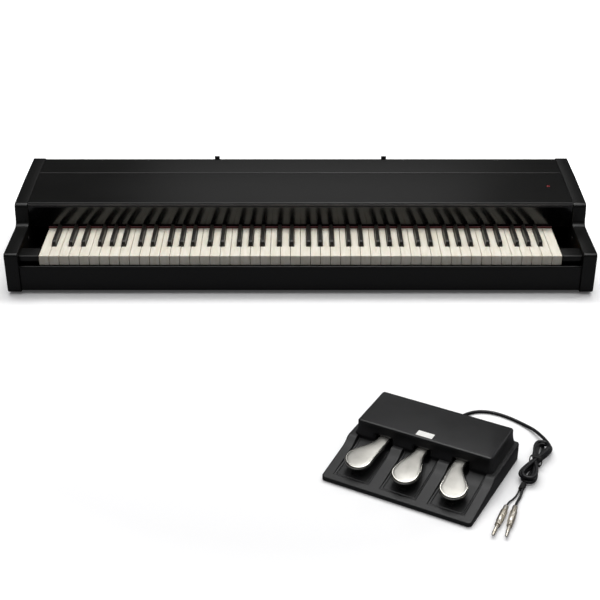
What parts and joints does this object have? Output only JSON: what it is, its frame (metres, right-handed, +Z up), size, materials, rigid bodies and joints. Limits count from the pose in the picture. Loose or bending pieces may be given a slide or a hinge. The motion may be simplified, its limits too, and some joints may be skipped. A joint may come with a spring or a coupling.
{
  "type": "digital piano with pedal unit",
  "caption": "Slab digital piano with wooden cheeks and a full see-saw keyboard, with a wedge-shaped floor pedal unit on a tied lead with phone plugs.",
  "frame": {"origin": "on the floor, under the middle of the box round the piano and its pedal unit together, without the free lead", "axes": "+X along the keyboard from the low notes to the high notes, +Y away from the player, +Z up"},
  "size_m": [1.38, 1.3384, 0.174],
  "materials": {
    "satin_black_paint": "satin black lacquer on board",
    "gloss_black_panel": "gloss black",
    "white_key_top": "satin ivory white moulding on a timber stick",
    "black_key_top": "satin black moulding on a timber stick",
    "raw_timber": "planed softwood",
    "red_felt": "pressed wool felt",
    "grey_felt": "pressed wool felt",
    "circuit_board": "solder mask",
    "black_moulding": "moulded, fine texture",
    "red_lens": "polished lens",
    "zinc_steel": "zinc plated",
    "black_rubber": "matt",
    "textured_black_abs": "fine moulded texture",
    "satin_nickel": "satin plate with a polished rim",
    "cord_jacket": "satin PVC",
    "nickel_plug": "bright nickel plate"
  },
  "bodies": {
    "cabinet": {"left_cheek": "satin_black_paint", "right_cheek": "satin_black_paint", "key_slip": "satin_black_paint", "bottom_board": "satin_black_paint", "top_cover": "satin_black_paint", "rear_cover": "satin_black_paint", "back_panel": "satin_black_paint", "key_blocks": "satin_black_paint", "fallboard": "gloss_black_panel", "felt_strip": "red_felt", "key_frame": "raw_timber", "front_stop_felt": "grey_felt", "back_rest_felt": "grey_felt", "key_sensor_board": "circuit_board", "main_board": "circuit_board", "dc_inlet": "black_moulding", "power_lamp": "red_lens", "base_screws": "zinc_steel", "rubber_feet": "black_rubber", "cheek_screw_caps": "black_moulding", "music_rest_pegs": "black_moulding", "balance_pins": "zinc_steel", "pedal_jacks": "black_moulding"},
    "power_button": {"power_button": "black_moulding"},
    "bass_white_keys": {"bass_white_keys": "white_key_top"},
    "bass_black_keys": {"bass_black_keys": "black_key_top"},
    "key_c4": {"key_c4": "white_key_top"},
    "key_cs4": {"key_cs4": "black_key_top"},
    "key_d4": {"key_d4": "white_key_top"},
    "key_ds4": {"key_ds4": "black_key_top"},
    "key_e4": {"key_e4": "white_key_top"},
    "key_f4": {"key_f4": "white_key_top"},
    "key_fs4": {"key_fs4": "black_key_top"},
    "key_g4": {"key_g4": "white_key_top"},
    "key_gs4": {"key_gs4": "black_key_top"},
    "key_a4": {"key_a4": "white_key_top"},
    "key_as4": {"key_as4": "black_key_top"},
    "key_b4": {"key_b4": "white_key_top"},
    "treble_white_keys": {"treble_white_keys": "white_key_top"},
    "treble_black_keys": {"treble_black_keys": "black_key_top"},
    "soft_pedal": {"soft_pedal": "satin_nickel"},
    "middle_pedal": {"middle_pedal": "satin_nickel"},
    "damper_pedal": {"damper_pedal": "satin_nickel"},
    "pedal_unit": {"pedal_base": "textured_black_abs", "pedal_case": "textured_black_abs", "unit_feet": "black_rubber", "pedal_axle": "zinc_steel", "unit_sensor_board": "circuit_board", "stop_pads": "black_rubber", "soft_spring": "zinc_steel", "middle_spring": "zinc_steel", "damper_spring": "zinc_steel", "cable_gland": "black_rubber", "pedal_cord": "cord_jacket", "cord_hank": "cord_jacket", "hank_tie": "black_moulding", "split_sleeve": "black_rubber", "thin_lead": "cord_jacket", "thick_lead": "cord_jacket", "phone_plugs": "nickel_plug"}
  },
  "joints": [
    {"name": "bass_white_keys_press", "type": "hinge", "parent": "cabinet", "child": "bass_white_keys", "pos_m": [-0.34075, 0.45256, 0.074], "axis": [1, 0, 0], "range_deg": [0, 2.5], "stiffness_Nm_per_rad": 11.5, "springref_deg": -27.5},
    {"name": "bass_black_keys_press", "type": "hinge", "parent": "cabinet", "child": "bass_black_keys", "pos_m": [-0.33167, 0.45256, 0.074], "axis": [1, 0, 0], "range_deg": [0, 2.5], "stiffness_Nm_per_rad": 8, "springref_deg": -18.33},
    {"name": "key_c4_press", "type": "hinge", "parent": "cabinet", "child": "key_c4", "pos_m": [-0.05875, 0.45256, 0.074], "axis": [1, 0, 0], "range_deg": [0, 2.5], "stiffness_Nm_per_rad": 0.5, "springref_deg": -27.5},
    {"name": "key_cs4_press", "type": "hinge", "parent": "cabinet", "child": "key_cs4", "pos_m": [-0.05, 0.45256, 0.074], "axis": [1, 0, 0], "range_deg": [0, 2.5], "stiffness_Nm_per_rad": 0.5, "springref_deg": -18.33},
    {"name": "key_d4_press", "type": "hinge", "parent": "cabinet", "child": "key_d4", "pos_m": [-0.03525, 0.45256, 0.074], "axis": [1, 0, 0], "range_deg": [0, 2.5], "stiffness_Nm_per_rad": 0.5, "springref_deg": -27.5},
    {"name": "key_ds4_press", "type": "hinge", "parent": "cabinet", "child": "key_ds4", "pos_m": [-0.0205, 0.45256, 0.074], "axis": [1, 0, 0], "range_deg": [0, 2.5], "stiffness_Nm_per_rad": 0.5, "springref_deg": -18.33},
    {"name": "key_e4_press", "type": "hinge", "parent": "cabinet", "child": "key_e4", "pos_m": [-0.01175, 0.45256, 0.074], "axis": [1, 0, 0], "range_deg": [0, 2.5], "stiffness_Nm_per_rad": 0.5, "springref_deg": -27.5},
    {"name": "key_f4_press", "type": "hinge", "parent": "cabinet", "child": "key_f4", "pos_m": [0.01175, 0.45256, 0.074], "axis": [1, 0, 0], "range_deg": [0, 2.5], "stiffness_Nm_per_rad": 0.5, "springref_deg": -27.5},
    {"name": "key_fs4_press", "type": "hinge", "parent": "cabinet", "child": "key_fs4", "pos_m": [0.0193, 0.45256, 0.074], "axis": [1, 0, 0], "range_deg": [0, 2.5], "stiffness_Nm_per_rad": 0.5, "springref_deg": -18.33},
    {"name": "key_g4_press", "type": "hinge", "parent": "cabinet", "child": "key_g4", "pos_m": [0.03525, 0.45256, 0.074], "axis": [1, 0, 0], "range_deg": [0, 2.5], "stiffness_Nm_per_rad": 0.5, "springref_deg": -27.5},
    {"name": "key_gs4_press", "type": "hinge", "parent": "cabinet", "child": "key_gs4", "pos_m": [0.047, 0.45256, 0.074], "axis": [1, 0, 0], "range_deg": [0, 2.5], "stiffness_Nm_per_rad": 0.5, "springref_deg": -18.33},
    {"name": "key_a4_press", "type": "hinge", "parent": "cabinet", "child": "key_a4", "pos_m": [0.05875, 0.45256, 0.074], "axis": [1, 0, 0], "range_deg": [0, 2.5], "stiffness_Nm_per_rad": 0.5, "springref_deg": -27.5},
    {"name": "key_as4_press", "type": "hinge", "parent": "cabinet", "child": "key_as4", "pos_m": [0.0747, 0.45256, 0.074], "axis": [1, 0, 0], "range_deg": [0, 2.5], "stiffness_Nm_per_rad": 0.5, "springref_deg": -18.33},
    {"name": "key_b4_press", "type": "hinge", "parent": "cabinet", "child": "key_b4", "pos_m": [0.08225, 0.45256, 0.074], "axis": [1, 0, 0], "range_deg": [0, 2.5], "stiffness_Nm_per_rad": 0.5, "springref_deg": -27.5},
    {"name": "treble_white_keys_press", "type": "hinge", "parent": "cabinet", "child": "treble_white_keys", "pos_m": [0.3525, 0.45256, 0.074], "axis": [1, 0, 0], "range_deg": [0, 2.5], "stiffness_Nm_per_rad": 11, "springref_deg": -27.5},
    {"name": "treble_black_keys_press", "type": "hinge", "parent": "cabinet", "child": "treble_black_keys", "pos_m": [0.3431, 0.45256, 0.074], "axis": [1, 0, 0], "range_deg": [0, 2.5], "stiffness_Nm_per_rad": 7.5, "springref_deg": -18.33},
    {"name": "power_button_press", "type": "slide", "parent": "cabinet", "child": "power_button", "axis": [0, -1, 0], "range_m": [0, 0.0025], "stiffness_N_per_m": 300, "springref_m": -0.002},
    {"name": "soft_pedal_press", "type": "hinge", "parent": "pedal_unit", "child": "soft_pedal", "pos_m": [0.19925, -0.36629, 0.042], "axis": [0.878, -0.4787, 0], "range_deg": [0, 4], "stiffness_Nm_per_rad": 10, "springref_deg": -11.46, "deforming": ["soft_spring"]},
    {"name": "middle_pedal_press", "type": "hinge", "parent": "pedal_unit", "child": "middle_pedal", "pos_m": [0.26773, -0.40363, 0.042], "axis": [0.878, -0.4787, 0], "range_deg": [0, 4], "stiffness_Nm_per_rad": 10, "springref_deg": -11.46, "deforming": ["middle_spring"]},
    {"name": "damper_pedal_press", "type": "hinge", "parent": "pedal_unit", "child": "damper_pedal", "pos_m": [0.33621, -0.44096, 0.042], "axis": [0.878, -0.4787, 0], "range_deg": [0, 4], "stiffness_Nm_per_rad": 10, "springref_deg": -11.46, "deforming": ["damper_spring"]},
    {"name": "pedal_unit_place", "type": "slide", "parent": "cabinet", "child": "pedal_unit", "axis": [0, 1, 0], "range_m": [0, 0.25]}
  ]
}
